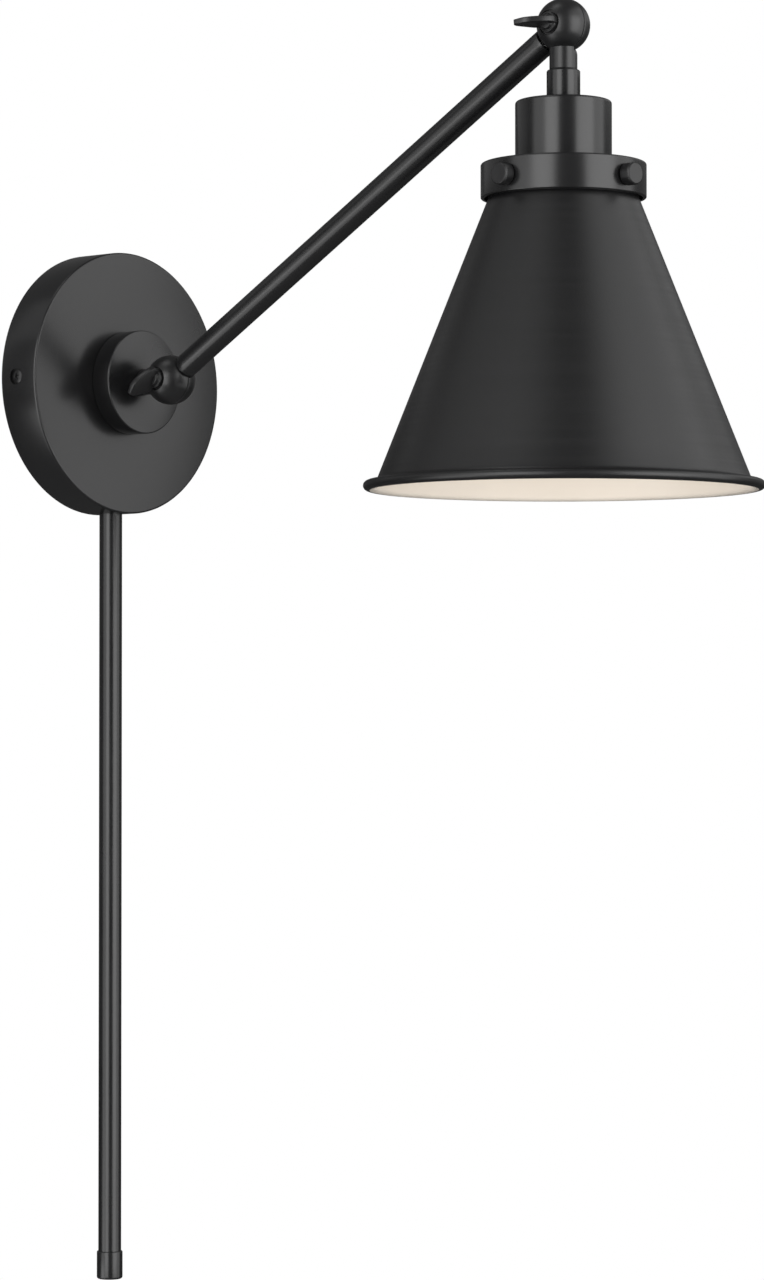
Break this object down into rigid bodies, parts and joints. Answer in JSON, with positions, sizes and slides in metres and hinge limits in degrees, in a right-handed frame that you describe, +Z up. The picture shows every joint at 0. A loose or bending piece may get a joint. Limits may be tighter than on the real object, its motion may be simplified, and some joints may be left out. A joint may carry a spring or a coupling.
{
  "type": "swing arm wall sconce",
  "caption": "Round wall plate, tube arm on two split ball swivels with clamping keys, downward cone shade held by knurled screws, and a straight cord cover tube.",
  "frame": {"origin": "centre of the wall plate's rear face, on the wall and midway between the mounting slots", "axes": "+Z up, the lamp reaches out from the wall along -Y, +X to the right seen from the room; both swivel hinge axes run along X"},
  "size_m": [0.1774, 0.3807, 0.5907],
  "materials": {
    "black": "satin powder coat",
    "shade_paint": "matte powder coat outside, warm white inside",
    "zinc": "zinc plated",
    "ground_green": "green dyed zinc",
    "connector_orange": "moulded",
    "lead_insulation": "moulded",
    "phenolic": "moulded",
    "nylon": "moulded",
    "brass": "stamped"
  },
  "bodies": {
    "wall_base": {"backplate": "black", "wall_bracket": "zinc", "side_screws": "black", "hub": "black", "hub_screws": "zinc", "ground_screw": "ground_green", "wire_connectors": "connector_orange", "plate_leads": "lead_insulation", "cover_tube": "black", "cover_nipple": "zinc", "cover_nut": "zinc", "ferrule": "black", "outlet_bush": "phenolic"},
    "base_swivel": {"base_stem": "black", "wave_washer": "zinc", "lock_nut": "zinc", "base_washer": "nylon", "base_leads": "lead_insulation"},
    "base_key": {"base_key": "black"},
    "arm": {"arm_tube": "black", "arm_base_half": "black", "arm_head_half": "black", "arm_leads": "lead_insulation"},
    "head_key": {"head_key": "black"},
    "head": {"head_stem": "black", "head_washer": "nylon", "coupler": "black", "head_nut": "zinc", "socket_cup": "black", "lampholder": "phenolic", "screw_shell": "brass", "centre_contact": "brass", "terminal_screws": "brass", "retaining_ring": "phenolic", "head_leads": "lead_insulation", "shade_collar": "black", "shade": "shade_paint"},
    "thumb_screw_1": {"thumb_screw_1": "black"},
    "thumb_screw_2": {"thumb_screw_2": "black"},
    "thumb_screw_3": {"thumb_screw_3": "black"},
    "thumb_screw_4": {"thumb_screw_4": "black"}
  },
  "joints": [
    {"name": "base_turn", "type": "hinge", "parent": "wall_base", "child": "base_swivel", "pos_m": [0, -0.0515, 0], "axis": [0, 1, 0], "range_deg": [-90, 90]},
    {"name": "arm_tilt", "type": "hinge", "parent": "base_swivel", "child": "arm", "pos_m": [0, -0.0515, 0], "axis": [-1, 0, 0], "range_deg": [-64, 44]},
    {"name": "head_tilt", "type": "hinge", "parent": "arm", "child": "head", "pos_m": [0, -0.29201, 0.14337], "axis": [-1, 0, 0], "range_deg": [-3, 95]},
    {"name": "base_key_turn", "type": "hinge", "parent": "base_swivel", "child": "base_key", "pos_m": [0, -0.0515, 0], "axis": [-1, 0, 0], "range_deg": [0, 180]},
    {"name": "head_key_turn", "type": "hinge", "parent": "head", "child": "head_key", "pos_m": [0, -0.29201, 0.14337], "axis": [-1, 0, 0], "range_deg": [0, 180]},
    {"name": "thumb_screw_1_out", "type": "slide", "parent": "head", "child": "thumb_screw_1", "axis": [0.0698, 0.9976, 0], "range_m": [0, 0.003]},
    {"name": "thumb_screw_2_out", "type": "slide", "parent": "head", "child": "thumb_screw_2", "axis": [-0.9976, 0.0698, 0], "range_m": [0, 0.003]},
    {"name": "thumb_screw_3_out", "type": "slide", "parent": "head", "child": "thumb_screw_3", "axis": [-0.0698, -0.9976, 0], "range_m": [0, 0.003]},
    {"name": "thumb_screw_4_out", "type": "slide", "parent": "head", "child": "thumb_screw_4", "axis": [0.9976, -0.0698, 0], "range_m": [0, 0.003]}
  ]
}
